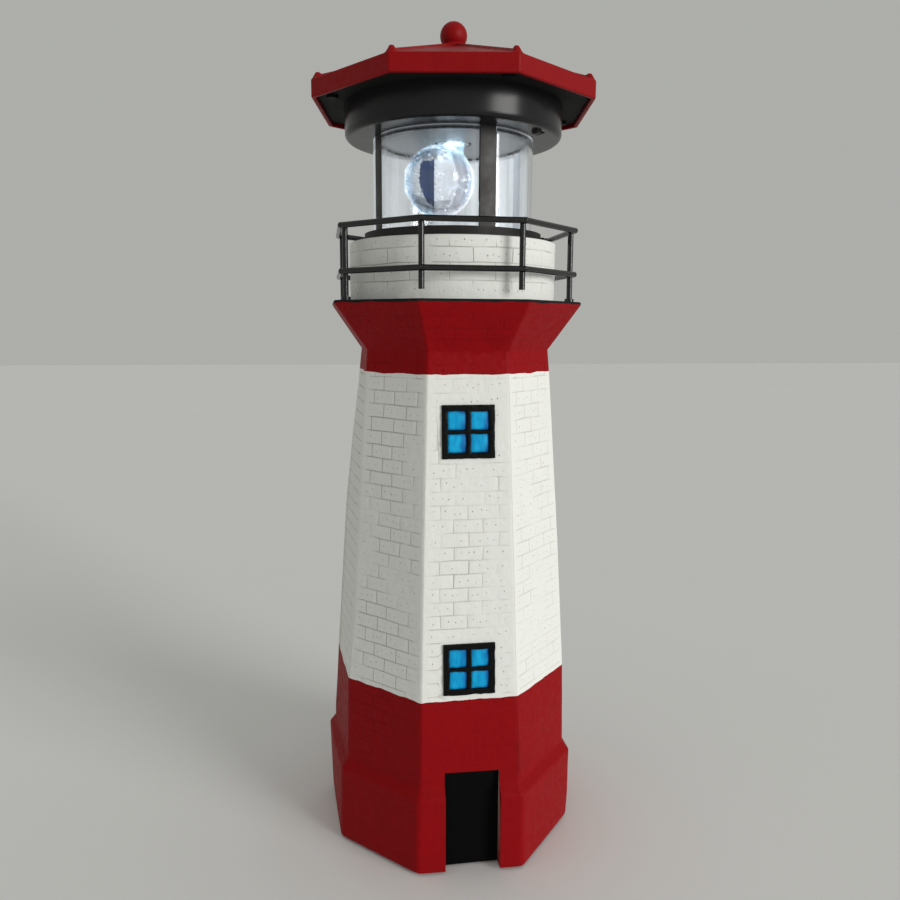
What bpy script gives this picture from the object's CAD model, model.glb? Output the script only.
"""Looks of the garden lighthouse ornament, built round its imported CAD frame. Metres, +Z up."""

import random
from collections import Counter
from contextlib import contextmanager
from math import asin, atan, atan2, cos, floor, hypot, pi, radians, sin, sqrt, tan

import bmesh
import bpy
import numpy as np
from mathutils import Matrix, Vector, noise
from mathutils.geometry import delaunay_2d_cdt


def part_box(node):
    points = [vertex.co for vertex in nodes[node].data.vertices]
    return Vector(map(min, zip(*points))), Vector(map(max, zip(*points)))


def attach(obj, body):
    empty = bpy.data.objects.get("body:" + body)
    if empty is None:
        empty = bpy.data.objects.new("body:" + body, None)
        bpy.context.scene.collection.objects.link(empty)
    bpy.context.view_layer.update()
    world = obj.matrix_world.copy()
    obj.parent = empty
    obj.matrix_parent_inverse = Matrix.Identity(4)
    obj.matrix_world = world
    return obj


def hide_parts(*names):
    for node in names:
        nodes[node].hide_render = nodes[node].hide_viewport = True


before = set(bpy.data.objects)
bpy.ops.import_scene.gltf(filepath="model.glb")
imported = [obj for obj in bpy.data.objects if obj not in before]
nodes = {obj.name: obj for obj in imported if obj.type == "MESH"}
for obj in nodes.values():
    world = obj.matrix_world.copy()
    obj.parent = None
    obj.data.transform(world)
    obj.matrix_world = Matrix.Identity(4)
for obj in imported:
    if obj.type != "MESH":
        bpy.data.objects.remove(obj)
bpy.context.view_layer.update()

# ---- Sizes in millimetres, the same as in the part's source ----

MM = 0.001
SIDES = 8
HALF = pi / SIDES
HEAD_TURN = radians(-9)

# Heights of the tower's edges, and the corner radius of its octagon at each
FOOT_Z, PLINTH_Z, WALL_Z = 1.0, 34.7, 38.5
LOW_PAINT_Z, MIDDLE_Z, HIGH_PAINT_Z = 76.6, 136.0, 212.4
FLARE_Z, RIM_Z, DECK_Z, PARAPET_Z = 221.7, 241.1, 242.3, 267.3
LEVELS = [(FOOT_Z, 58.6), (PLINTH_Z, 57.9), (WALL_Z, 54.6), (LOW_PAINT_Z, 53.7), (MIDDLE_Z, 50.0),
          (HIGH_PAINT_Z, 44.4), (FLARE_Z, 43.5), (RIM_Z, 57.6), (DECK_Z, 57.6)]
LEVEL_ZS, LEVEL_RS = zip(*LEVELS)
PARAPET_R = 45.5
SOCKET_R, SOCKET_DEPTH = 36.0, 12.0
HOLLOW_FOOT_R, HOLLOW_R, HOLLOW_TOP_R, PLATE_T = 44.74, 43.04, 33.0, 3.0
BOSS_R, BOSS_TOP, BOSS_SINK = 4.0, 9.0, 1.6

# The doorway's sides and top, and how far its back lies from the tower's axis
DOOR_LEFT, DOOR_RIGHT, DOOR_TOP, DOOR_BACK = -10.5, 13.1, 44.8, 47.84
WINDOW_ZS = {"lower": 90.0, "upper": 189.3}
WINDOW_HALF, POCKET, FRAME_PROUD = 11.0, 1.2, 0.98
FRAME_BAR, GLAZING_HALF = 2.5, 0.8

# The lamp head: what the frame tells is read from it
WINDOW_LOW, WINDOW_TOP = (corner.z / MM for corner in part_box("lantern_window"))
TUBE_R, TUBE_WALL = 34.7, 1.8
MULLION_W, MULLION_T, MULLION_TURN = 7.0, 1.0, radians(23.8)
LENS_R, LENS_OFFSET, NECK_R = 15.2, 6.0, 4.2
BALL_LOW, NECK_TOP = (corner.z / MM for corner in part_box("ball_lens"))
LENS_Z = BALL_LOW + LENS_R
SOFFIT_T = 1.6
FINIAL_R, FINIAL_NECK_R, SPIGOT_R, SPIGOT_H = 5.8, 5.0, 2.45, 5

# How far the hand-made casting's corners stray outwards from a true octagon, as {corner: (height, stray)}.
# Corner 0 is right of the front facet, and they count on to the right.
STRAY = {
    0: [(0, 1.9), (35, 1.9), (58, 1.3), (74, 0.3), (80, 0)],
    1: [(0, -1.4), (14, -0.5), (35, 0)],
    5: [(0, 3.0), (35, 5.0), (42, 5.2), (60, 4.3), (76, 3.6), (120, 3.3), (150, 3.1), (180, 1.9), (205, 0.4),
        (221, 0)],
    6: [(76, 0), (100, -1.0), (136, -1.6), (165, -1.2), (212, -1.1), (222, -0.8), (241, 0)],
}


# ---- The tower's form ----

def corner_radius(z):
    return float(np.interp(z, LEVEL_ZS, LEVEL_RS))


def apothem(z):
    return corner_radius(z) * cos(HALF)


def facet_axes(k):
    """A facet's direction as an angle, its outward axis and its axis to the right."""
    a = -pi / 2 + 2 * HALF * k
    return a, Vector((cos(a), sin(a), 0)), Vector((-sin(a), cos(a), 0))


def facet_frame(z):
    """The place of something set into the front facet at this height, square to its slope."""
    lean = atan((apothem(z - 1) - apothem(z)) / 1.0)
    return Matrix.Translation((0, -apothem(z), z)) @ Matrix.Rotation(-lean, 4, "X")


def stray(x, y, z):
    """How far out the cast surface lies from the true octagon here."""
    turn = (atan2(y, x) + pi / 2) % (2 * pi)
    k = int((turn + HALF) // (2 * HALF))
    share = (1 + tan(turn - 2 * HALF * k) / tan(HALF)) / 2
    left, right = (float(np.interp(z, *zip(*STRAY.get(corner, [(0, 0)]))))
                   for corner in ((k - 1) % SIDES, k % SIDES))
    return left + (right - left) * share


def wave(*p):
    """A smooth random height between -1 and 1, the same in each run."""
    return noise.noise(Vector(p))


def unevenness(p):
    """How far in the cast surface lies here: broad hollows and small ones."""
    return 0.10 * (1 + wave(*(p * 0.045))) + 0.05 * (1 + wave(*(p * 0.2)))


def head_point(x, y):
    """A point of the lamp head, which stands turned on the tower."""
    c, s = cos(HEAD_TURN), sin(HEAD_TURN)
    return x * c - y * s, x * s + y * c


def smooth(x, low, high):
    """Rises smoothly from 0 to 1 between low and high."""
    t = min(1.0, max(0.0, (x - low) / (high - low)))
    return t * t * (3 - 2 * t)


# ---- Meshes ----

@contextmanager
def editing(mesh):
    bm = bmesh.new()
    bm.from_mesh(mesh)
    yield bm
    bm.to_mesh(mesh)
    bm.free()


def add_object(name, data):
    obj = bpy.data.objects.new(name, data)
    bpy.context.scene.collection.objects.link(obj)
    return obj


def mesh_object(name, points, faces):
    """An object from points in millimetres, with double points merged."""
    mesh = bpy.data.meshes.new(name)
    mesh.from_pydata([tuple(c * MM for c in p) for p in points], [], faces)
    obj = add_object(name, mesh)
    tidy_mesh(obj)
    return obj


def tidy_mesh(obj, merge=0.00001):
    with editing(obj.data) as bm:
        bmesh.ops.remove_doubles(bm, verts=bm.verts, dist=merge)
        bmesh.ops.recalc_face_normals(bm, faces=bm.faces)


def shade(obj, angle):
    """Smooth shading, with the edges sharper than the angle kept crisp."""
    obj.data.polygons.foreach_set("use_smooth", [True] * len(obj.data.polygons))
    with editing(obj.data) as bm:
        for e in bm.edges:
            if len(e.link_faces) == 2 and e.calc_face_angle(0) > radians(angle):
                e.smooth = False


def loft_faces(rows, n, closed=True):
    """Quads between rows of n points each."""
    faces = []
    for r in range(rows - 1):
        for i in range(n if closed else n - 1):
            low, high, j = r * n, (r + 1) * n, (i + 1) % n
            faces.append((low + i, low + j, high + j, high + i))
    return faces


def lathe(name, profile, steps=96, centre=(0, 0), closed=True, sharp=35):
    """A turned solid from a closed (r, z) outline in millimetres."""
    points, faces = [], []
    n = len(profile)
    for i in range(steps):
        a = 2 * pi * i / steps
        points += [(centre[0] + r * cos(a), centre[1] + r * sin(a), z) for r, z in profile]
    for i in range(steps):
        j = (i + 1) % steps
        for k in range(n if closed else n - 1):
            m = (k + 1) % n
            faces.append((i * n + k, j * n + k, j * n + m, i * n + m))
    obj = mesh_object(name, points, faces)
    with editing(obj.data) as bm:
        bmesh.ops.dissolve_degenerate(bm, dist=1e-7, edges=bm.edges)
    shade(obj, sharp)
    return obj


def block(name, low, high, matrix=None):
    points = [(x, y, z) for x in (low[0], high[0]) for y in (low[1], high[1]) for z in (low[2], high[2])]
    if matrix is not None:
        points = [matrix @ Vector(p) for p in points]
    faces = [(0, 1, 3, 2), (4, 6, 7, 5), (0, 4, 5, 1), (2, 3, 7, 6), (0, 2, 6, 4), (1, 5, 7, 3)]
    return mesh_object(name, points, faces)


def boolean(obj, cutter, operation="DIFFERENCE"):
    mod = obj.modifiers.new("cut", "BOOLEAN")
    mod.operation = operation
    mod.object = cutter
    mod.solver = "EXACT"
    bake_modifiers(obj)
    bpy.data.objects.remove(cutter)


def bake_modifiers(obj):
    graph = bpy.context.evaluated_depsgraph_get()
    mesh = bpy.data.meshes.new_from_object(obj.evaluated_get(graph))
    obj.modifiers.clear()
    old = obj.data
    obj.data = mesh
    bpy.data.meshes.remove(old)


def dress(obj, mat):
    obj.data.materials.clear()
    obj.data.materials.append(mat)


def visual_piece(obj, body, node, mat):
    """Puts an object in the place of a CAD node."""
    dress(obj, mat)
    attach(obj, body)
    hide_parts(node)


# ---- Materials ----

def feed(socket, value):
    """Links a value to a socket, or sets the socket to a number, a colour or a vector."""
    if isinstance(value, Value):
        value.tree.links.new(value.socket, socket)
    elif isinstance(value, tuple) and len(value) < len(socket.default_value):
        socket.default_value = (*value, 1)
    else:
        socket.default_value = value


def value_first(operation):
    return lambda self, other: self.math(operation, self, other)


def value_last(operation):
    return lambda self, other: self.math(operation, other, self)


class Value:
    """A number in a node tree, on which plain arithmetic makes math nodes."""

    __add__ = __radd__ = value_first("ADD")
    __mul__ = __rmul__ = value_first("MULTIPLY")
    __sub__, __rsub__ = value_first("SUBTRACT"), value_last("SUBTRACT")
    __truediv__, __pow__ = value_first("DIVIDE"), value_first("POWER")
    __lt__, __gt__ = value_first("LESS_THAN"), value_first("GREATER_THAN")
    maximum, pingpong = value_first("MAXIMUM"), value_first("PINGPONG")

    def __init__(self, tree, socket):
        self.tree, self.socket = tree, socket

    def math(self, operation, *values):
        node = self.tree.nodes.new("ShaderNodeMath")
        node.operation = operation
        for socket, value in zip(node.inputs, values):
            feed(socket, value)
        return Value(self.tree, node.outputs[0])

    def __abs__(self):
        return self.math("ABSOLUTE", self)

    def root(self):
        return self.math("SQRT", self)

    def between(self, low, high, to_low=0.0, to_high=1.0):
        """Goes smoothly from to_low to to_high while this value goes from low to high."""
        node = self.tree.nodes.new("ShaderNodeMapRange")
        node.interpolation_type = "SMOOTHSTEP"
        keys = ("Value", "From Min", "From Max", "To Min", "To Max")
        for key, value in zip(keys, (self, low, high, to_low, to_high)):
            feed(node.inputs[key], value)
        return Value(self.tree, node.outputs["Result"])

    def mottle(self, low, high):
        """Spreads a noise's usual range from low to high."""
        return self.between(0.3, 0.7, low, high)


class Nodes:
    """A material's node tree, with short ways to add what the finishes here share."""

    def __init__(self, name):
        self.mat = bpy.data.materials.new(name)
        self.mat.use_nodes = True
        self.tree = self.mat.node_tree
        self.tree.nodes.clear()
        out = self.tree.nodes.new("ShaderNodeOutputMaterial")
        self.shader = self.tree.nodes.new("ShaderNodeBsdfPrincipled")
        self.tree.links.new(self.shader.outputs[0], out.inputs["Surface"])
        self.place = self.value("TexCoord", "Object")

    def value(self, kind, output, **inputs):
        """Adds a node and gives the value of one of its outputs."""
        node = self.tree.nodes.new("ShaderNode" + kind)
        for key, value in inputs.items():
            feed(node.inputs[key], value)
        return Value(self.tree, node.outputs[output])

    def set(self, **values):
        """Sets or links the shader's inputs, whose names have a space for each _."""
        for key, value in values.items():
            feed(self.shader.inputs[key.replace("_", " ")], value)

    def stretched(self, scale):
        return self.value("Mapping", 0, Vector=self.place, Scale=scale)

    def noise(self, scale, detail=3.0, rough=0.5, where=None):
        return self.value("TexNoise", "Fac", Vector=where or self.place, Scale=scale, Detail=detail,
                          Roughness=rough)

    def mix(self, factor, a, b):
        node = self.tree.nodes.new("ShaderNodeMix")
        node.data_type = "RGBA"
        for socket, value in ((node.inputs[0], factor), (node.inputs[6], a), (node.inputs[7], b)):
            feed(socket, value)
        return Value(self.tree, node.outputs[2])

    def attribute(self, name):
        found = self.value("Attribute", "Fac")
        found.socket.node.attribute_name = name
        return found

    def axes(self):
        node = self.tree.nodes.new("ShaderNodeSeparateXYZ")
        feed(node.inputs[0], self.place)
        return [Value(self.tree, output) for output in node.outputs]

    def bump(self, height, depth, over=None):
        """A relief of a depth in metres, laid over an earlier one."""
        earlier = {} if over is None else {"Normal": over}
        normal = self.value("Bump", 0, Height=height, Distance=depth, **earlier)
        self.set(Normal=normal)
        return normal


def shades(colour, share):
    """A darker and a lighter shade of a colour."""
    return tuple(c * (1 - share) for c in colour), tuple(min(1, c * (1 + share)) for c in colour)


def finish_of(name, colour, rough, mottle, mottle_scale, grain, grain_scale, specular=0.5, metal=0,
              stretch=None):
    """A plain finish: mottled colour, uneven gloss and a fine grain, whose depth is in microns."""
    m = Nodes(name)
    where = m.stretched(stretch) if stretch else m.place
    dark, light = shades(colour, mottle)
    m.set(Base_Color=m.mix(m.noise(mottle_scale, where=where), dark, light), Specular_IOR_Level=specular,
          Metallic=metal, Roughness=m.noise(mottle_scale * 2).mottle(*rough))
    m.bump(m.noise(grain_scale, where=where), grain * 1e-6)
    return m.mat


RED, ROOF_RED, GROOVE_RED = (0.265, 0.002, 0.0045), (0.25, 0.002, 0.004), (0.10, 0.001, 0.002)
WHITE, GROOVE_WHITE = (0.80, 0.81, 0.775), (0.34, 0.32, 0.27)
RIM_BLACK = (0.012, 0.012, 0.013)
RESIN_DARK, RESIN_LIGHT = (0.50, 0.46, 0.38), (0.60, 0.56, 0.47)
PAINT_WAVER = 1.5


def tower_paint():
    """White, red and black bands with wavering edges, and bare resin inside."""
    m = Nodes("tower_paint")
    groove, inside, height = m.attribute("groove"), m.attribute("inside"), m.axes()[2]
    z = height + (m.noise(130, 1.5) - 0.5) * (PAINT_WAVER * MM)
    white = m.mix(m.noise(90, 4.0), shades(WHITE, 0.05)[0], WHITE)
    white = m.mix(groove * 0.55, white, GROOVE_WHITE)
    red = m.mix(m.noise(140, 4.0), shades(RED, 0.13)[0], shades(RED, 0.1)[1])
    red = m.mix(groove * 0.5, red, GROOVE_RED)
    is_red = (z < LOW_PAINT_Z * MM) + (z > HIGH_PAINT_Z * MM) * (z < RIM_Z * MM)
    is_black = (z > RIM_Z * MM) * (height < (DECK_Z + 0.15) * MM)
    colour = m.mix(is_black, m.mix(is_red, white, red), RIM_BLACK)
    colour = m.mix(inside, colour, m.mix(m.noise(200), RESIN_DARK, RESIN_LIGHT))
    m.set(Base_Color=colour, Specular_IOR_Level=0.08,
          Roughness=m.noise(300).mottle(0.62, 0.74) - is_red * 0.16)
    coarse = m.bump(m.noise(300, 3.0), 0.00030)
    m.bump(m.noise(2400, 2.0), 0.00003, over=coarse)
    return m.mat


def roof_paint():
    m = Nodes("roof_paint")
    colour = m.mix(m.noise(110, 4.0), shades(ROOF_RED, 0.12)[0], shades(ROOF_RED, 0.08)[1])
    m.set(Base_Color=colour, Specular_IOR_Level=0.12, Roughness=m.noise(260).mottle(0.42, 0.56))
    coarse = m.bump(m.noise(330, 2.0), 0.00011)
    m.bump(m.noise(2600, 2.0), 0.00002, over=coarse)
    return m.mat


def drum_plastic(soffit_z):
    """Gloss black drum, with the soffit of the same moulding in a matt grain."""
    m = Nodes("drum_plastic")
    matt = m.axes()[2] > soffit_z - 0.0004
    gloss_black = m.mix(m.noise(60), (0.011, 0.011, 0.012), (0.016, 0.016, 0.017))
    matt_black = m.mix(m.noise(500), (0.014, 0.014, 0.014), (0.021, 0.021, 0.021))
    m.set(Base_Color=m.mix(matt, gloss_black, matt_black), Specular_IOR_Level=0.20 - matt * 0.16,
          Roughness=m.noise(90).mottle(0.22, 0.27) + matt * 0.4)
    m.bump(m.noise(260, 1.0), 0.00001)
    return m.mat


def window_clear():
    """The clear tube. Its rear half carries the pale haze of the bright room behind it."""
    m = Nodes("window_clear")
    x, y, z = m.axes()
    streaks = m.noise(1.0, 4.0, where=m.stretched((420, 420, 9)))
    rim = z.between((WINDOW_TOP - 0.9) * MM, (WINDOW_TOP - 0.3) * MM, 0.0, 0.05)
    haze = streaks.mottle(0.045, 0.17) * x.between(4 * MM, 28 * MM, 1.0, 2.0)
    haze = haze * y.between(-6 * MM, 6 * MM, 0.04, 1.0)
    m.set(Base_Color=m.mix(streaks, (0.90, 0.92, 0.93), (0.98, 0.99, 1.0)),
          Roughness=streaks.between(0.45, 0.75, 0.03, 0.22), Transmission_Weight=1.0, IOR=1.49,
          Specular_IOR_Level=0.25, Emission_Color=(0.82, 0.90, 1.0), Emission_Strength=rim + haze)
    m.bump(streaks, 0.00005)
    return m.mat


class BallView:
    """Where a point of the ball lens lies, seen from the lamp head's front."""

    def __init__(self, m):
        x, y = head_point(-LENS_OFFSET, 0)
        c, s = cos(HEAD_TURN), sin(HEAD_TURN)
        axes = m.axes()
        dx, dy = axes[0] - x * MM, axes[1] - y * MM
        self.across = dx * c + dy * s
        self.front = (dy * c - dx * s) < 0.0
        self.z = axes[2]
        self.up = self.z - LENS_Z * MM
        self.facing = m.value("LayerWeight", "Facing", Blend=0.5)

    def across_from(self, low, high, *to):
        return self.across.between(low * MM, high * MM, *to)

    def up_from(self, low, high, *to):
        return self.up.between(low * MM, high * MM, *to)


# The dark upright that the ball throws towards the front: its bowed left side, its right side and its top
UPRIGHT_BOW_H, UPRIGHT_LEFT, UPRIGHT_RIGHT, UPRIGHT_TOP = 12.5, -8.1, -2.0, 6.6
UPRIGHT_RAGGED = 1.6
LENS_DARK, LENS_RING = (0.0002, 0.0022, 0.026), (0.05, 0.27, 0.62)


def lens_upright(m, view):
    bow = (1.0 - (view.up / (UPRIGHT_BOW_H * MM)) ** 2.0).root()
    ragged = (m.noise(900, 3.0) - 0.5) * (UPRIGHT_RAGGED * MM)
    sides = (view.across + ragged > bow * (UPRIGHT_LEFT * MM)) * (view.across < UPRIGHT_RIGHT * MM)
    return sides * ((view.up + ragged * 2.0 < UPRIGHT_TOP * MM) * view.front)


def lens_specks(m, view, ring):
    """Dark specks on the front and along the ring, and the broken patch above the upright."""
    specks = m.noise(1100, 2.0).between(0.60, 0.66) * view.front * view.across_from(-4, 4, 1.0, 0.15)
    on_ring = m.noise(800, 3.0).between(0.56, 0.61) * ring * view.across_from(-2, 2, 1.0, 0.5)
    patch = view.up_from(6, 7.5) * view.up_from(13, 11.5) * view.front * view.across_from(1, -1)
    patch = patch * m.noise(620, 3.0, 0.6).between(0.43, 0.47)
    return specks.maximum(on_ring * view.front).maximum(patch)


def lens_glow(m, view, upright, right):
    """The diode's light in the ball: at its rim, crown and neck, and as a haze with sparkles in it."""
    rim = view.facing ** 3.5 * m.noise(250, 3.0).mottle(0.8, 2.1)
    neck = view.z.between((NECK_TOP - 3.0) * MM, (NECK_TOP - 1.8) * MM, 0.0, 2.2)
    neck = neck * view.z.between((NECK_TOP - 0.5) * MM, NECK_TOP * MM, 1.0, 0.4)
    off_middle = abs(view.across - 1 * MM)
    crown = view.up_from(3.5, 10.5) * m.noise(420, 4.0, 0.65).between(0.47, 0.56)
    crown = crown * off_middle.between(3 * MM, 9 * MM, 1.3, 0.2) * view.up_from(12.5, 14.5, 0.8, 0.25)
    sparkle = m.noise(520, 3.0, 0.6).between(0.60, 0.68) * view.up_from(4, -4, 0.25, 0.8)
    haze = (sparkle + 0.24) * (right * (view.up < LENS_R * MM))
    faint = (1.0 - right) * (sparkle * 0.35) * (1.0 - upright)
    return rim + crown + (neck + (haze + faint))


def lens_clear():
    """The ball's clear plastic, with what is seen in it as tints and a glow that turn with it."""
    m = Nodes("lens_clear")
    view = BallView(m)
    ring = view.facing.between(0.24, 0.50) * view.facing.between(0.92, 0.72)
    ring = ring * m.noise(380, 3.0).between(0.35, 0.62, 0.35, 1.0)
    clear = m.mix(ring, m.mix(m.noise(90), (0.86, 0.92, 1.0), (0.97, 0.98, 1.0)), LENS_RING)
    upright = lens_upright(m, view)
    dark = upright.maximum(lens_specks(m, view, ring) * 0.85)
    right = view.across_from(UPRIGHT_RIGHT, -1.2) * view.front
    glow = lens_glow(m, view, upright, right) * (1.0 - dark * 0.9)
    tint = m.mix(right, (0.70, 0.88, 1.0), (0.93, 0.93, 1.0))
    m.set(Base_Color=m.mix(dark, clear, LENS_DARK), Roughness=0.015, Transmission_Weight=1.0, IOR=1.49,
          Specular_IOR_Level=0.3, Emission_Strength=glow,
          Emission_Color=m.mix(view.up_from(3, 8), tint, (0.60, 0.84, 1.0)))
    m.bump(m.noise(160, 2.0) + m.noise(2200, 1.0).between(0.70, 0.78), 0.00005)
    return m.mat


def pane_paint():
    """Streaky blue, darker towards each pane's right and dark at its edge."""
    m = Nodes("pane_paint")
    brushed = m.noise(1.0, 3.0, 0.55, where=m.stretched((520, 520, 160))).between(0.3, 0.7)
    blue = m.mix(brushed, (0.003, 0.29, 0.60), (0.010, 0.42, 0.77))
    blue = m.mix(m.attribute("dim") * 0.8, blue, (0.002, 0.07, 0.32))
    m.set(Base_Color=m.mix(m.attribute("edge"), blue, (0.002, 0.04, 0.15)), Roughness=0.42,
          Specular_IOR_Level=0.12)
    m.bump(m.noise(600, 2.0), 0.00006)
    return m.mat


def solar_glass():
    """Dark cells under glass, with fine silver fingers across them."""
    m = Nodes("solar_glass")
    finger = m.axes()[2].pingpong(0.00045) < 0.00004
    cell = m.mix(m.noise(90), (0.006, 0.010, 0.045), (0.016, 0.024, 0.085))
    m.set(Base_Color=m.mix(finger * 0.5, cell, (0.35, 0.37, 0.42)), Roughness=0.30, Specular_IOR_Level=0.15,
          Coat_Weight=0.12, Coat_Roughness=0.08)
    m.bump(m.noise(900), 0.00001)
    return m.mat


def glow_white():
    m = Nodes("glow_white")
    m.set(Base_Color=m.mix(m.noise(300), (0.85, 0.9, 0.95), (0.95, 0.97, 1.0)), Roughness=0.3,
          Emission_Color=(0.86, 0.93, 1.0), Emission_Strength=m.noise(500).between(0.2, 0.8, 9.0, 11.0))
    return m.mat


# ---- Tower: cast walls with brick relief ----

# The cut that rounds each upright corner, the points along its arc, and the points across a facet's flat part
EDGE_CUT, ARC, ACROSS = 1.0, 3, 12
BRICK_H, FLARE_BRICK_H = 5.74, 4.7
PARAPET_GROOVES = (7.3, 14.2, 20.3)
PARAPET_BRICKS = 16

# Groove depths of the facets where they differ, and the share of the relief that the red paint leaves open
USUAL_DEPTH, FACET_DEPTH = 0.3, {1: 0.24, 6: 0.40, 7: 0.40}
LOW_RED_OPEN, HIGH_RED_OPEN = 0.42, 0.6


def half_flat(z):
    return corner_radius(z) * sin(HALF) - EDGE_CUT


def octagon_ring(z, r, cut):
    """Points of an octagon with rounded corners, starting at the front facet's left end."""
    ring = []
    flat_r, half_w = r * cos(HALF), r * sin(HALF)
    round_r = cut / tan(HALF)
    for k in range(SIDES):
        a, n, t = facet_axes(k)
        for i in range(ACROSS + 1):
            p = n * flat_r + t * ((half_w - cut) * (2 * i / ACROSS - 1))
            ring.append((p.x, p.y, z))
        reach = (flat_r - round_r) / cos(HALF)
        cx, cy = reach * cos(a + HALF), reach * sin(a + HALF)
        for j in range(1, ARC + 1):
            b = a + 2 * HALF * j / (ARC + 1)
            ring.append((cx + round_r * cos(b), cy + round_r * sin(b), z))
    return ring


def octagon_rows(*rows):
    return [octagon_ring(z, r, cut) for z, r, cut in rows]


class Skin:
    """Collects the points and faces of one closed skin."""

    def __init__(self):
        self.points, self.faces = [], []

    def add(self, points, faces):
        first = len(self.points)
        self.points += points
        self.faces += [tuple(first + i for i in f) for f in faces]

    def loft(self, rows, closed=True):
        self.add([p for row in rows for p in row], loft_faces(len(rows), len(rows[0]), closed))


class BrickSheet:
    """A flat sheet of bricks cut by V grooves, in (u, z) with a height for each point."""

    # Half a groove's width, its depth, a brick's length, and how far a joint may stray from the bond
    w, depth, pitch, jitter = 0.36, 0.34, 12.2, 0.7
    # Room kept free of joints at the sides, width over which grooves fade out there, and points' spacing
    margin, fade, step = 2.2, 3.0, 3.0
    # How far a groove wanders up or down, and whether the sheet's sides meet
    wobble, seamless = 0.3, False
    # Room kept free round a hole by joints, groove lines and pits, and by a line's own points at a joint
    joint_gap, line_gap, pit_gap, point_gap = 1.4, 0.7, 1.0, 0.9
    # How far a joint leans, and how far it stops short of the sheet's lower or upper edge
    lean, free_end = 0.25, 0.9

    def __init__(self, seed, left, right, z_low, z_high, bottom_u, top_u, grooves, levels=(), holes=(),
                 depth_at=lambda z: 1.0, **sizes):
        self.rng, self.seed, self.depth_at = random.Random(seed), seed, depth_at
        self.left, self.right, self.z_low, self.z_high = left, right, z_low, z_high
        self.grooves, self.holes = grooves, holes
        vars(self).update(sizes)
        self.verts, self.heights, self.edges = [], [], []
        self.build(bottom_u, top_u, sorted(set(levels)))

    def add(self, u, z, h=0.0):
        self.verts.append(Vector((u, z)))
        self.heights.append(h)
        return len(self.verts) - 1

    def chain(self, ids):
        self.edges += zip(ids, ids[1:])

    def in_hole(self, u, z, gap):
        return any(left - gap < u < right + gap and low - gap < z < high + gap
                   for left, right, low, high in self.holes)

    def row_span(self, r):
        z0 = self.z_low if r == 0 else self.grooves[r - 1]
        z1 = self.z_high if r == len(self.grooves) else self.grooves[r]
        return z0, z1

    def taper(self, u, z):
        if self.seamless:
            return 1.0
        return smooth(min(u - self.left(z), self.right(z) - u), 0.2, self.fade)

    def bend(self, u, z):
        """How far a groove lies above its height here; at a seam its two ends meet."""
        if self.seamless and (u < 3 or u > self.right(0) - 3):
            return 0.0
        return self.wobble * wave(u * 0.09, z * 0.5, self.seed * 7.3)

    def groove_depth(self, u, z):
        broad, fine = wave(u * 0.06, z * 0.05, self.seed * 5.7), wave(u * 0.3, z * 0.5, self.seed * 3.1)
        worn = 0.72 + 0.9 * broad + 0.5 * fine
        d = self.depth * min(1.15, max(0.12, worn)) * self.depth_at(z)
        return -d * self.taper(u, z)

    def joints(self, r):
        """Where the upright joints of a row stand: (u at its foot, u at its top)."""
        z0, z1 = self.row_span(r)
        mid = (z0 + z1) / 2
        low, high = self.left(mid) + self.margin, self.right(mid) - self.margin
        shift = self.pitch / 2 if r % 2 else 0.0
        found = []
        first = floor((low - shift) / self.pitch)
        for i in range(first, first + int((high - low) / self.pitch) + 3):
            u = shift + self.pitch * i + self.rng.uniform(-self.jitter, self.jitter)
            lean = self.rng.uniform(-self.lean, self.lean)
            if low <= u <= high and not any(self.in_hole(u, z, self.joint_gap) for z in (z0, z1, mid)):
                found.append((u, u + lean))
        return found

    def line(self, z, side, marks):
        """One of a groove's three lines. marks are (u, kind) where joints meet it."""
        ids, runs, at = [], [], {}
        low, high = self.left(z), self.right(z)
        spots = list(marks)
        u = low + self.step
        while u < high - self.step * 0.6:
            if all(abs(u - m[0]) > self.point_gap for m in marks):
                spots.append((u, "plain"))
            u += self.step
        z_line = z + side * self.w
        start = self.add(self.left(z_line), z_line)
        ids.append(start)
        for u, kind in sorted(spots):
            if self.in_hole(u, z_line, self.line_gap):
                if ids:
                    runs.append(ids)
                    ids = []
                continue
            h = self.groove_depth(u, z) if (side == 0 or kind == "mouth") else 0.0
            i = self.add(u, z_line + self.bend(u, z) * self.taper(u, z), h)
            at[round(u, 4)] = i
            if not ids:
                self.heights[i] = 0.0 if kind != "mouth" else h
            ids.append(i)
        end = self.add(self.right(z_line), z_line)
        ids.append(end)
        runs.append(ids)
        for run in runs:
            self.chain(run)
        return at, start, end

    def build(self, bottom_u, top_u, levels):
        rows = [self.joints(r) for r in range(len(self.grooves) + 1)]
        self.sides, lines, w = [], [], self.w
        for k, z in enumerate(self.grooves):
            below, above = [u for _, u in rows[k]], [u for u, _ in rows[k + 1]]
            low_marks, high_marks = ([m for u in us for m in ((u - w, "rim"), (u, "mouth"), (u + w, "rim"))]
                                     for us in (below, above))
            centre_marks = [(u, "mouth") for u in below]
            centre_marks += [(u, "mouth") for u in above if all(abs(u - b) > 0.35 for b in below)]
            got = {}
            for side, marks in ((-1, low_marks), (0, centre_marks), (1, high_marks)):
                got[side], *ends = self.line(z, side, marks)
                self.sides.append((round(z + side * w, 5), *ends))
            lines.append(got)
        for z in levels:
            ends = [self.add(self.left(z), z), self.add(self.right(z), z)]
            self.sides.append((round(z, 5), *ends))
            if not any(low < z < high for _, _, low, high in self.holes):
                self.chain(ends)
        for r, row in enumerate(rows):
            self.row_joints(r, row, lines)
            self.pits(r, row)
        self.outline(bottom_u, top_u)

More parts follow.
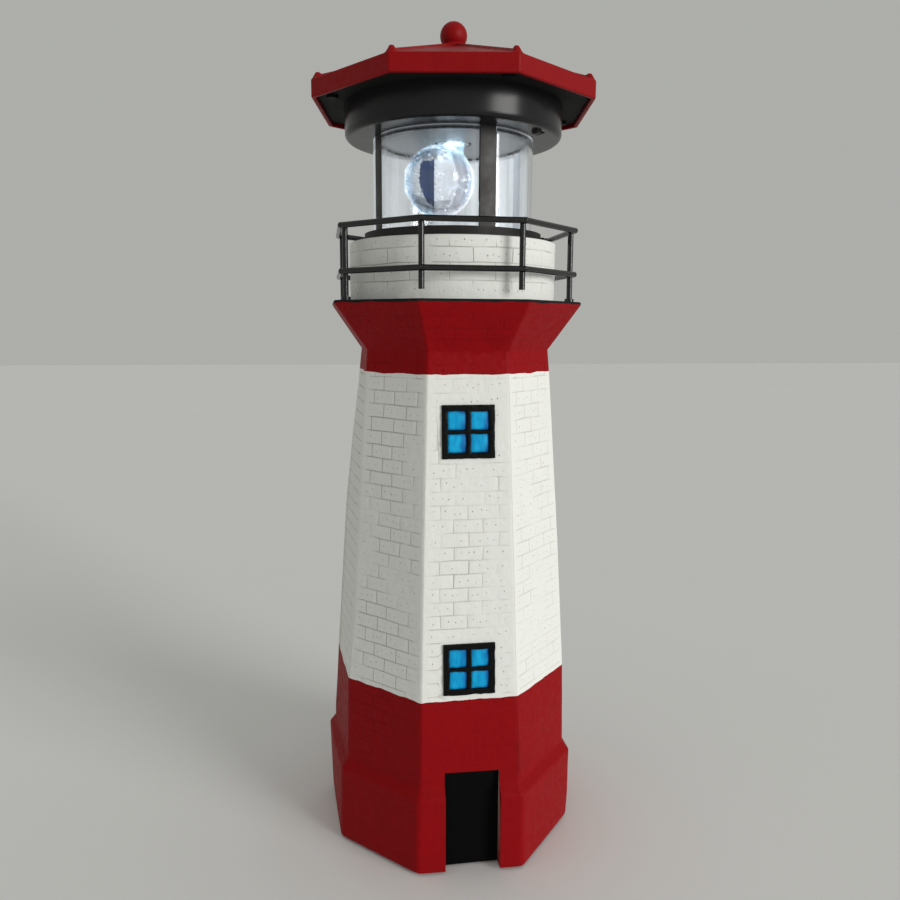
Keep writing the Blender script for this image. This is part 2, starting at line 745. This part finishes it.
    def row_joints(self, r, row, lines):
        """The upright grooves of a row, each of three lines."""
        for foot, top in row:
            low = self.joint_end(lines[r - 1] if r else None, 1, foot, self.z_low + self.free_end)
            if low is None:
                continue
            line = lines[r] if r < len(self.grooves) else None
            high = self.joint_end(line, -1, top, self.z_high - self.free_end)
            if high is None:
                continue
            self.edges += zip(low, high)

    def joint_end(self, line, side, u, free_z):
        """The points where an upright groove meets a level one's line, or its tip where it meets none."""
        if line is None:
            return [self.add(u, free_z)] * 3
        keys = [round(u + s, 4) for s in (-self.w, 0, self.w)]
        if any(key not in line[side] for key in keys):
            return None
        found = [line[side][key] for key in keys]
        if keys[1] in line[0]:
            self.chain([line[0][keys[1]], found[1]][::side])
        return found

    def pits(self, r, row):
        """Small flat-bottomed pits scattered along the middle of a row's bricks."""
        mid = sum(self.row_span(r)) / 2
        ends = [self.left(mid) + 1.0] + [j[0] for j in row] + [self.right(mid) - 1.0]
        for a, b in zip(ends, ends[1:]):
            if b - a < 4.5:
                continue
            u = a + self.rng.uniform(1.6, 3.2)
            while u < b - 1.5:
                z = mid + self.rng.uniform(-0.9, 0.9)
                size = self.rng.uniform(0.24, 0.44)
                drop = self.rng.uniform(0.2, 0.46) * self.depth_at(mid)
                if self.rng.random() < 0.8 and not self.in_hole(u, z, self.pit_gap):
                    for t in (0.7, 2.8, 4.9):
                        self.add(u + 0.4 * size * cos(t), z + 0.4 * size * sin(t), -drop)
                    loop = [self.add(u + size * cos(t), z + size * sin(t))
                            for t in (0.2, 1.25, 2.3, 3.35, 4.4, 5.45)]
                    self.chain(loop + loop[:1])
                u += self.rng.uniform(2.0, 4.0)

    def outline(self, bottom_u, top_u):
        bottom = [self.add(u, self.z_low) for u in bottom_u]
        top = [self.add(u, self.z_high) for u in top_u]
        self.side_z, left, right = map(list, zip(*sorted(self.sides)))
        self.border = bottom + right + top[::-1] + left[::-1] + bottom[:1]
        self.chain(self.border)

    def crown(self, u, z):
        """A slight outward bow that keeps the straight sides' points in line while triangulating."""
        middle = (self.left(z) + self.right(z)) / 2
        t = (z - self.z_low) / (self.z_high - self.z_low)
        return 2.0 * (u - middle) / (self.right(z) - middle) * t * (1 - t)

    def mesh(self, place):
        """Points and triangles of the sheet, with each point put in space by place(u, z, height)."""
        bowed = [Vector((v.x + self.crown(v.x, v.y), v.y)) for v in self.verts]
        out = delaunay_2d_cdt(bowed, self.edges, [], 1, 1e-7, True)
        verts, tris, origins = out[0], [tuple(t) for t in out[2]], out[3]
        points = []
        for v, origin in zip(verts, origins):
            if origin:
                v, h = self.verts[origin[0]], self.heights[origin[0]]
            else:
                v, h = Vector((v.x - self.crown(v.x, v.y), v.y)), 0.0
            points.append(place(v.x, v.y, h))
        return points, self.peeled(tris, origins)

    def peeled(self, tris, origins):
        """The triangles without the slivers that lie outside the sheet's outline."""
        now = {}
        for i, source in enumerate(origins):
            for old in source:
                now[old] = i
        loop = [now[i] for i in self.border]
        kept = {frozenset(e) for e in zip(loop, loop[1:])}
        edges = {t: [frozenset(e) for e in (t[:2], t[1:], t[::2])] for t in tris}
        while True:
            count = Counter(e for t in tris for e in edges[t])
            left = [t for t in tris if all(count[e] > 1 or e in kept for e in edges[t])]
            if len(left) == len(tris):
                return tris
            tris = left


def paint_depth(z):
    """How much of the relief the paint leaves open: the red bands are nearly filled."""
    if z < LOW_PAINT_Z - 1:
        return LOW_RED_OPEN
    return HIGH_RED_OPEN if z > HIGH_PAINT_Z + 1 else 1.0


def wall_sheets(skin, z_low, z_high, grooves, levels=(), front_holes=(), seed=1):
    """The eight brick facets between two heights, and the rounded corners that join them."""
    bottom, top = ([half_flat(z) * (2 * i / ACROSS - 1) for i in range(ACROSS + 1)] for z in (z_low, z_high))
    for k in range(SIDES):
        sheet = BrickSheet(k + seed, lambda z: -half_flat(z), half_flat, z_low, z_high, bottom, top, grooves,
                           levels, front_holes if k == 0 else (), paint_depth,
                           depth=FACET_DEPTH.get(k, USUAL_DEPTH))
        _, n, t = facet_axes(k)

        def place(u, z, h, n=n, t=t):
            p = n * (apothem(z) + h) + t * u
            return (p.x, p.y, z)
        skin.add(*sheet.mesh(place))
    rings = [octagon_ring(z, corner_radius(z), EDGE_CUT) for z in [z_low, *sheet.side_z, z_high]]
    for k in range(SIDES):
        first = k * (ACROSS + 1 + ARC) + ACROSS
        skin.loft([[ring[(first + j) % len(ring)] for j in range(ARC + 2)] for ring in rings], closed=False)


def parapet_sheet(skin, ring):
    """The round parapet's brick wall on the deck, and its rounded top edge."""
    angles = [atan2(p[1], p[0]) for p in ring]
    start, round_u = angles[0], 2 * pi * PARAPET_R
    us = [((a - start) % (2 * pi)) * PARAPET_R for a in angles] + [round_u]
    top_z = PARAPET_Z - 0.6
    sheet = BrickSheet(31, lambda z: 0.0, lambda z: round_u, DECK_Z, top_z, us, us,
                       [DECK_Z + z for z in PARAPET_GROOVES], pitch=round_u / PARAPET_BRICKS, margin=3.5,
                       step=2.4, seamless=True, depth=0.36, wobble=0.35, w=0.3, jitter=1.0)

    def place(u, z, h):
        a = start + u / PARAPET_R
        return ((PARAPET_R + h) * cos(a), (PARAPET_R + h) * sin(a), z)
    skin.add(*sheet.mesh(place))
    rows = []
    for inset, drop in ((0, 0.6), (0.12, 0.3), (0.35, 0.1), (0.7, 0)):
        r = PARAPET_R - inset
        rows.append([(r * cos(a), r * sin(a), PARAPET_Z - drop) for a in angles])
    skin.loft(rows)
    return rows[-1]


def plinth_skin(skin):
    """The foot's rounded edge, the plinth and its slope up to the wall."""
    rows = octagon_rows((FOOT_Z, 57.7, 2.0), (FOOT_Z + 0.25, 58.15, 1.9), (FOOT_Z + 0.8, 58.45, 1.8),
                        (FOOT_Z + 2, 58.58, 1.75))
    z = FOOT_Z + 4.5
    while z < PLINTH_Z - 1.5:
        rows.append(octagon_ring(z, corner_radius(z), 1.7))
        z += 3.0
    rows += octagon_rows((PLINTH_Z - 0.9, 57.9, 1.6), (PLINTH_Z - 0.1, 57.7, 1.6),
                         (PLINTH_Z + 0.6, 57.2, 1.5), (PLINTH_Z + 1.5, 56.35, 1.4),
                         (WALL_Z - 1.1, 55.45, 1.3), (WALL_Z - 0.5, 54.95, 1.15), (WALL_Z, 54.6, EDGE_CUT))
    skin.loft(rows)
    return rows[0]


def deck_skin(skin, flare_top):
    """The flare's upper edge, the deck's rim and the deck as far as the parapet."""
    rows = [octagon_ring(flare_top, corner_radius(flare_top), EDGE_CUT)]
    rows += octagon_rows((RIM_Z, 57.5, 1.1), (RIM_Z + 0.4, 57.6, 1.1), (DECK_Z - 0.35, 57.5, 1.1),
                         (DECK_Z - 0.08, 57.25, 1.1), (DECK_Z, 56.8, 1.1))
    rim = rows[-1]
    circle = []
    for p in rim:
        a = atan2(p[1], p[0])
        circle.append((PARAPET_R * cos(a), PARAPET_R * sin(a), DECK_Z))
    rows.append([tuple((a + b) / 2 for a, b in zip(p, q)) for p, q in zip(rim, circle)])
    rows.append(circle)
    skin.loft(rows)
    return circle


def tower_mesh():
    skin = Skin()
    foot = plinth_skin(skin)
    grooves = [WALL_Z + BRICK_H * i for i in range(1, 32) if WALL_Z + BRICK_H * i < FLARE_Z - 3]
    levels = [z for z in (LOW_PAINT_Z, MIDDLE_Z, HIGH_PAINT_Z) if all(abs(z - g) > 0.5 for g in grooves)]
    holes = [(DOOR_LEFT, DOOR_RIGHT, WALL_Z - 1, DOOR_TOP)]
    holes += [(-WINDOW_HALF, WINDOW_HALF, z - WINDOW_HALF, z + WINDOW_HALF) for z in WINDOW_ZS.values()]
    wall_sheets(skin, WALL_Z, FLARE_Z, grooves, levels, holes)
    flare_top = RIM_Z - 0.6
    wall_sheets(skin, FLARE_Z, flare_top, [FLARE_Z + FLARE_BRICK_H * i for i in (1, 2, 3)], seed=51)
    top = parapet_sheet(skin, deck_skin(skin, flare_top))
    n = len(foot)
    skin.add(foot, [tuple(range(n))[::-1]])
    skin.add(top, [tuple(range(n))])
    points = []
    for p in map(Vector, skin.points):
        k = 1 + (stray(*p) - unevenness(p)) / hypot(p.x, p.y)
        points.append((p.x * k, p.y * k, p.z))
    return mesh_object("tower_walls", points, skin.faces)


def cut_tower(obj):
    """Hollows the tower out, leaving the foot's screw bosses, and cuts the doorway and the window pockets."""
    seat_z, socket_z = FOOT_Z + PLATE_T, PARAPET_Z - SOCKET_DEPTH
    hollow = [(0, 0), (HOLLOW_FOOT_R, 0), (HOLLOW_FOOT_R, seat_z), (HOLLOW_R, seat_z),
              (HOLLOW_TOP_R, HIGH_PAINT_Z), (HOLLOW_TOP_R, socket_z), (SOCKET_R, socket_z),
              (SOCKET_R, PARAPET_Z + 1), (0, PARAPET_Z + 1)]
    cutter = lathe("hollow_cutter", hollow, steps=128)
    boss_ring = HOLLOW_R + BOSS_SINK - BOSS_R
    for k in range(4):
        a = pi / 2 * k
        boss = lathe("boss", [(0, seat_z - 0.01), (BOSS_R, seat_z - 0.01), (BOSS_R, BOSS_TOP), (0, BOSS_TOP)],
                     steps=32, centre=(boss_ring * cos(a), boss_ring * sin(a)))
        boolean(cutter, boss)
    boolean(obj, cutter)
    boolean(obj, block("door_cutter", (DOOR_LEFT, -70, -1), (DOOR_RIGHT, -DOOR_BACK, DOOR_TOP)))
    for z in WINDOW_ZS.values():
        low, high = (-WINDOW_HALF, -3, -WINDOW_HALF), (WINDOW_HALF, POCKET, WINDOW_HALF)
        boolean(obj, block("window_cutter", low, high, facet_frame(z)))


def mark_depths(obj):
    """Point attributes for the paint: how deep in a groove a point lies, and whether it is inside."""
    co = np.array([v.co for v in obj.data.vertices], dtype=float) / MM
    z = co[:, 2]
    facet_r = np.interp(z, LEVEL_ZS, LEVEL_RS) * cos(HALF)
    outward = [facet_axes(k)[1] for k in range(SIDES)]
    across = np.max([co[:, 0] * n.x + co[:, 1] * n.y for n in outward], axis=0)
    radial = np.hypot(co[:, 0], co[:, 1])
    depth = np.where(z > DECK_Z + 0.05, PARAPET_R - radial, facet_r - across)
    depth = depth + np.array([stray(*p) - unevenness(p) for p in map(Vector, co)])
    groove = np.clip((depth - 0.06) / 0.2, 0, 1) * (depth < 0.8)
    groove[(z < WALL_Z + 0.5) | ((z > RIM_Z - 1) & (z < DECK_Z + 0.5)) | (z > PARAPET_Z - 1)] = 0
    on_deck = (np.abs(z - DECK_Z) < 0.3) & (radial > PARAPET_R - 2)
    inside = (depth > 2.5) & (z > FOOT_Z + 0.5) & ~on_deck
    for name, values in (("groove", groove), ("inside", inside)):
        attribute = obj.data.attributes.new(name, "FLOAT", "POINT")
        attribute.data.foreach_set("value", values.astype(np.float32))


tower = tower_mesh()
cut_tower(tower)
mark_depths(tower)
shade(tower, 40)
# Large faces rule the shading, so that bricks look flat up to their grooves
tower.modifiers.new("flat_bricks", "WEIGHTED_NORMAL").keep_sharp = True
visual_piece(tower, "tower", "tower_casting", tower_paint())


# ---- Windows ----

FRAME_ROUND, FRAME_WAVER, LONGEST_EDGE = 0.45, 0.5, 1.6
PANE_STEPS, PANE_OVERLAP, PANE_SWELL = 14, 0.22, 0.45


def set_in_facet(obj, z):
    matrix = facet_frame(z)
    matrix.translation *= MM
    obj.data.transform(matrix)


def frame_grid(bm):
    """The frame's front face: four outer bars and a cross, with four openings."""
    stops = [-WINDOW_HALF, -WINDOW_HALF + FRAME_BAR, -GLAZING_HALF, GLAZING_HALF, WINDOW_HALF - FRAME_BAR,
             WINDOW_HALF]
    grid = {(i, j): bm.verts.new((stops[i] * MM, -FRAME_PROUD * MM, stops[j] * MM))
            for i in range(6) for j in range(6)}
    for i in range(5):
        for j in range(5):
            if i not in (1, 3) or j not in (1, 3):
                bm.faces.new([grid[i, j], grid[i + 1, j], grid[i + 1, j + 1], grid[i, j + 1]])


def window_frame(name, z):
    """A cast frame with soft uneven edges."""
    obj = add_object(name, bpy.data.meshes.new(name))
    with editing(obj.data) as bm:
        frame_grid(bm)
        out = bmesh.ops.extrude_face_region(bm, geom=bm.faces[:])
        bmesh.ops.translate(bm, vec=(0, (FRAME_PROUD + POCKET) * MM, 0),
                            verts=[v for v in out["geom"] if isinstance(v, bmesh.types.BMVert)])
        bmesh.ops.recalc_face_normals(bm, faces=bm.faces)
        sharp = [e for e in bm.edges if len(e.link_faces) == 2 and e.calc_face_angle(0) > 1]
        bmesh.ops.bevel(bm, geom=sharp, offset=FRAME_ROUND * MM, segments=3, profile=0.6, affect="EDGES",
                        clamp_overlap=True)
        bmesh.ops.triangulate(bm, faces=[f for f in bm.faces if len(f.verts) > 4])
        long_edges = [e for e in bm.edges if e.calc_length() > LONGEST_EDGE * MM]
        bmesh.ops.subdivide_edges(bm, edges=long_edges, cuts=3, use_grid_fill=True)
        limit = WINDOW_HALF * MM
        for v in bm.verts:
            p = v.co / MM
            if p.y < 0.6:
                push = Vector((wave(p.x * 0.4, p.z * 0.4, z), 0, wave(p.x * 0.4, p.z * 0.4, z + 9)))
                v.co += push * FRAME_WAVER * MM
                v.co.y += (0.10 + 0.10 * wave(p.x * 0.5, p.z * 0.5, z + 3)) * MM
            v.co.x = max(-limit, min(limit, v.co.x))
            v.co.z = max(-limit, min(limit, v.co.z))
        bmesh.ops.recalc_face_normals(bm, faces=bm.faces)
    set_in_facet(obj, z)
    shade(obj, 60)
    return obj


def swollen_pane(cx, cz, z):
    """Points of one pane's front, thickest in the middle, with the paint's edge and dim values."""
    size = (WINDOW_HALF - FRAME_BAR - GLAZING_HALF) / 2 + PANE_OVERLAP
    middle = [c * (GLAZING_HALF + size - PANE_OVERLAP) for c in (cx, cz)]
    points, edge, dim = [], [], []
    for i in range(PANE_STEPS + 1):
        for j in range(PANE_STEPS + 1):
            a, b = 2 * i / PANE_STEPS - 1, 2 * j / PANE_STEPS - 1
            swell = (1 - a ** 4) * (1 - b ** 4)
            round_a, round_b = a * sqrt(1 - 0.10 * b * b), b * sqrt(1 - 0.10 * a * a)
            lump = 0.05 * wave(cx * 3 + a, cz * 3 + b, z)
            y = 0.2 - PANE_SWELL * swell - lump
            points.append((middle[0] + size * round_a, y, middle[1] + size * round_b))
            edge.append(smooth(max(abs(a), abs(b)) + 0.06 * wave(a * 2, b * 2, z + cx), 0.80, 0.98))
            dim.append(smooth(a + 0.5 * wave(a * 1.5 + cx * 3, b * 1.2 + cz * 3, z), 0.15, 0.95))
    return points, edge, dim


def pane_rim(first):
    """The pane's outer points in turn, from the index of its first point."""
    n = PANE_STEPS
    path = [(i, 0) for i in range(n)] + [(n, j) for j in range(n)]
    path += [(n - i, n) for i in range(n)] + [(0, n - j) for j in range(n)]
    return [first + i * (n + 1) + j for i, j in path]


def window_panes(name, z):
    """Four swollen panes of painted glass with flat backs."""
    points, faces, edge, dim = [], [], [], []
    for cx, cz in ((-1, -1), (-1, 1), (1, -1), (1, 1)):
        first = len(points)
        for values, more in zip((points, edge, dim), swollen_pane(cx, cz, z)):
            values += more
        for i in range(PANE_STEPS):
            for j in range(PANE_STEPS):
                p = first + i * (PANE_STEPS + 1) + j
                faces.append((p, p + PANE_STEPS + 1, p + PANE_STEPS + 2, p + 1))
        rim, back = pane_rim(first), len(points)
        n = len(rim)
        points += [(points[p][0], POCKET - 0.05, points[p][2]) for p in rim]
        edge += [1.0] * n
        dim += [1.0] * n
        faces += [(rim[i], rim[(i + 1) % n], back + (i + 1) % n, back + i) for i in range(n)]
        faces.append(tuple(back + i for i in range(n)))
    matrix = facet_frame(z)
    mesh = bpy.data.meshes.new(name)
    mesh.from_pydata([tuple(c * MM for c in matrix @ Vector(p)) for p in points], [], faces)
    for key, values in (("edge", edge), ("dim", dim)):
        mesh.attributes.new(key, "FLOAT", "POINT").data.foreach_set("value", values)
    obj = add_object(name, mesh)
    with editing(mesh) as bm:
        bmesh.ops.recalc_face_normals(bm, faces=bm.faces)
    shade(obj, 50)
    return obj


black_cast = finish_of("window_black", (0.0022, 0.0022, 0.0021), (0.3, 0.45), 0.3, 300, 140, 700, 0.12)
blue = pane_paint()
for which, z in WINDOW_ZS.items():
    cast = window_frame(which + "_frame_cast", z)
    visual_piece(cast, "tower", which + "_window_frame", black_cast)
    glass = window_panes(which + "_panes_swollen", z)
    visual_piece(glass, "tower", which + "_window_panes", blue)


# ---- Lamp head ----

def window_tube():
    """The clear tube, thinner where the four mullions are let into its outer face."""
    steps = 360
    half = asin(MULLION_W / 2 / (TUBE_R - MULLION_T / 2))
    outer, inner = [], []
    for i in range(steps):
        a = 2 * pi * i / steps
        off = (a - HEAD_TURN - MULLION_TURN + pi / 4) % (pi / 2) - pi / 4
        r = TUBE_R - (MULLION_T + 0.02 if abs(off) < half else 0)
        outer.append((r * cos(a), r * sin(a)))
        inner.append(((TUBE_R - TUBE_WALL) * cos(a), (TUBE_R - TUBE_WALL) * sin(a)))
    low, high = WINDOW_LOW + 0.02, WINDOW_TOP - 0.02
    rows = ((inner, low), (outer, low), (outer, high), (inner, high))
    points = [(x, y, z) for ring, z in rows for x, y in ring]
    faces = loft_faces(4, steps)
    for i in range(steps):
        j = (i + 1) % steps
        faces.append((3 * steps + i, 3 * steps + j, j, i))
    tube = mesh_object("clear_tube", points, faces)
    shade(tube, 25)
    return tube


def clear_ball():
    """The ball lens with its neck, as one clear casting."""
    cx, cy = head_point(-LENS_OFFSET, 0)
    steps = 48
    outline = [(LENS_R * sin(pi * i / steps), LENS_Z - LENS_R * cos(pi * i / steps))
               for i in range(steps + 1)]
    outline[0], outline[-1] = (0, LENS_Z - LENS_R), (0, LENS_Z + LENS_R)
    ball = lathe("clear_ball", outline, steps=96, centre=(cx, cy), closed=False, sharp=60)
    foot, side = LENS_Z + 2, NECK_R - 0.02
    outline = [(0, foot), (side, foot), (side, NECK_TOP - 0.3), (NECK_R - 0.3, NECK_TOP), (0, NECK_TOP)]
    boolean(ball, lathe("neck", outline, steps=64), "UNION")
    tidy_mesh(ball, 0.00002)
    shade(ball, 30)
    return ball


def soft_copy(node, name, voxel, passes, keep):
    """A copy of a CAD node with its edges softened as casting and paint do."""
    obj = add_object(name, nodes[node].data.copy())
    remesh = obj.modifiers.new("remesh", "REMESH")
    remesh.mode = "VOXEL"
    remesh.voxel_size = voxel * MM
    obj.modifiers.new("soft", "SMOOTH").iterations = passes
    obj.modifiers.new("fewer", "DECIMATE").ratio = keep
    bake_modifiers(obj)
    shade(obj, 70)
    return obj


def finial_turned():
    """The ball finial on its narrow neck, with a spigot in the roof."""
    foot, top = (corner.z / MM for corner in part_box("finial"))
    middle, seat = top - FINIAL_R, foot + SPIGOT_H
    start = asin((FINIAL_NECK_R - 0.35) / FINIAL_R)
    neck_top = middle - FINIAL_R * cos(start)
    outline = [(0, foot), (SPIGOT_R, foot), (SPIGOT_R, seat), (FINIAL_NECK_R, seat),
               (FINIAL_NECK_R, neck_top - 0.6), (FINIAL_NECK_R - 0.12, neck_top - 0.25)]
    for i in range(21):
        b = start + (pi - start) * i / 20
        outline.append((max(0.0, FINIAL_R * sin(b)), middle - FINIAL_R * cos(b)))
    return lathe("finial_turned", outline, steps=64, closed=False, sharp=40)


visual_piece(window_tube(), "lamp_head", "lantern_window", window_clear())
visual_piece(clear_ball(), "beacon", "ball_lens", lens_clear())
red_roof = roof_paint()
soft_roof = soft_copy("roof_shell", "roof_cast", 0.42, 4, 0.35)
visual_piece(soft_roof, "lamp_head", "roof_shell", red_roof)
visual_piece(finial_turned(), "lamp_head", "finial", red_roof)


# ---- Finishes of the CAD nodes that show as they are ----

# Each row: name, colour, lowest and highest roughness, mottle and its scale, grain in microns and its scale,
# specular level, metallic, and the nodes that wear it
FINISHES = (
    ("door_black", (0.0015, 0.0015, 0.0016), (0.6, 0.75), 0.3, 150, 120, 500, 0.06, 0, "door_panel"),
    ("base_plastic", (0.035, 0.035, 0.035), (0.5, 0.65), 0.1, 200, 30, 1200, 0.5, 0, "base_plate"),
    ("pad_rubber", (0.018, 0.018, 0.018), (0.75, 0.9), 0.2, 400, 60, 1200, 0.5, 0, "foot_pads"),
    ("lantern_black", (0.020, 0.0185, 0.0185), (0.42, 0.55), 0.12, 80, 20, 900, 0.3, 0, "lantern_base"),
    ("wire_black", (0.005, 0.005, 0.0055), (0.16, 0.28), 0.25, 200, 80, 500, 0.5, 0,
     "railing_posts top_rail mid_rail"),
    ("ceiling_white", (0.44, 0.445, 0.45), (0.3, 0.4), 0.04, 150, 20, 900, 0.5, 0, "ceiling_reflector"),
    ("screw_black", (0.010, 0.010, 0.010), (0.5, 0.6), 0.2, 400, 10, 3000, 0.05, 0, "roof_screws"),
    ("screw_steel", (0.55, 0.55, 0.55), (0.25, 0.4), 0.08, 400, 10, 3000, 0.5, 1,
     "base_screws motor_screws bridge_screws motor_shaft"),
    ("zinc_plate", (0.62, 0.62, 0.60), (0.3, 0.42), 0.1, 500, 10, 2000, 0.5, 1, "motor_bracket"),
    ("contact_nickel", (0.66, 0.63, 0.58), (0.2, 0.35), 0.08, 500, 10, 2500, 0.5, 1, "battery_contacts"),
    ("board_green", (0.012, 0.11, 0.045), (0.3, 0.45), 0.15, 250, 20, 1200, 0.5, 0,
     "led_board control_board"),
    ("gear_nylon", (0.72, 0.72, 0.68), (0.35, 0.45), 0.04, 300, 20, 1500, 0.5, 0,
     "motor_pinion lens_carrier"),
    ("bridge_white", (0.66, 0.66, 0.64), (0.4, 0.5), 0.05, 200, 20, 1500, 0.5, 0, "led_bridge"),
    ("cell_wrap", (0.03, 0.22, 0.08), (0.22, 0.32), 0.1, 120, 10, 900, 0.5, 0, "battery_cell"),
    ("cradle_black", (0.022, 0.022, 0.022), (0.45, 0.6), 0.15, 200, 30, 1500, 0.5, 0, "battery_cradle"),
    ("knob_black", (0.02, 0.02, 0.02), (0.45, 0.6), 0.15, 300, 40, 1800, 0.5, 0, "switch_knob"),
)
LEAD_COLOURS = {
    "solar": (0.55, 0.02, 0.02), "battery": (0.40, 0.02, 0.015), "motor": (0.70, 0.48, 0.04),
    "led": (0.75, 0.75, 0.73), "switch": (0.03, 0.08, 0.42),
}

for *look, names in FINISHES:
    mat = finish_of(*look)
    for name in names.split():
        dress(nodes[name], mat)
for part, colour in LEAD_COLOURS.items():
    dress(nodes[part + "_leads"], finish_of(part + "_leads_wire", colour, (0.4, 0.5), 0.06, 200, 20, 1500))
brushed = finish_of("brushed_steel", (0.60, 0.60, 0.62), (0.28, 0.45), 0.06, 300, 10, 900, metal=1,
                    stretch=(1, 1, 0.05))
dress(nodes["gearmotor"], brushed)
dress(nodes["switch_body"], brushed)
dress(nodes["drum_housing"], drum_plastic(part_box("drum_housing")[1].z - SOFFIT_T * MM))
dress(nodes["solar_panels"], solar_glass())
dress(nodes["led"], glow_white())


# ---- Floor, light and camera ----

FLOOR_SIZE = 9.0
WORLD_COLOUR, WORLD_STRENGTH = (0.83, 0.84, 0.80), 0.505
KEY_PLACE, KEY_TARGET, KEY_COLOUR = Vector((1.52, -1.57, 0.68)), Vector((0, 0, 0.2)), (1.0, 0.99, 0.97)
KEY_STRENGTH, KEY_SPREAD = 2.05, radians(28)

# The camera that the photograph's perspective fits: its place round the tower, its height and its tilt
CAMERA_TURN, CAMERA_REACH, CAMERA_Z = radians(-9.2), 364.3, 231.9
YAW, PITCH, ROLL = radians(-0.12), radians(-8.84), radians(0.26)
FOCAL_PX, FRAME_PX = 797.9, 900


def studio_floor():
    bpy.ops.mesh.primitive_plane_add(size=FLOOR_SIZE, location=(0, 0, -0.0002))
    ground = bpy.context.object
    ground.name = "studio_floor"
    m = Nodes("studio_floor")
    m.set(Base_Color=m.mix(m.noise(4), (0.81, 0.81, 0.80), (0.84, 0.84, 0.83)), Roughness=0.8)
    dress(ground, m.mat)


def studio_light():
    """A pale surround, and one broad far light that neither pools on the floor nor cuts off across it."""
    world = bpy.data.worlds.new("studio")
    bpy.context.scene.world = world
    world.use_nodes = True
    background = world.node_tree.nodes["Background"]
    feed(background.inputs[0], WORLD_COLOUR)
    feed(background.inputs[1], WORLD_STRENGTH)
    light = bpy.data.lights.new("key_light", "SUN")
    light.energy = KEY_STRENGTH
    light.angle = KEY_SPREAD
    light.color = KEY_COLOUR
    key = add_object("key_light", light)
    key.location = KEY_PLACE
    key.rotation_euler = (KEY_TARGET - KEY_PLACE).to_track_quat("-Z", "Y").to_euler()


def photo_camera():
    data = bpy.data.cameras.new("photo_camera")
    data.lens = FOCAL_PX * data.sensor_width / FRAME_PX
    data.clip_start = 0.01
    camera = add_object("photo_camera", data)
    camera.matrix_world = Matrix.Rotation(CAMERA_TURN, 4, "Z")
    camera.matrix_world @= Matrix.Translation((0, -CAMERA_REACH * MM, CAMERA_Z * MM))
    for angle, axis in ((-YAW, "Z"), (pi / 2 + PITCH, "X"), (ROLL, "Z")):
        camera.matrix_world @= Matrix.Rotation(angle, 4, axis)
    bpy.context.scene.camera = camera


studio_floor()
studio_light()
photo_camera()
bpy.context.scene.view_settings.view_transform = "Standard"

bpy.context.view_layer.update()
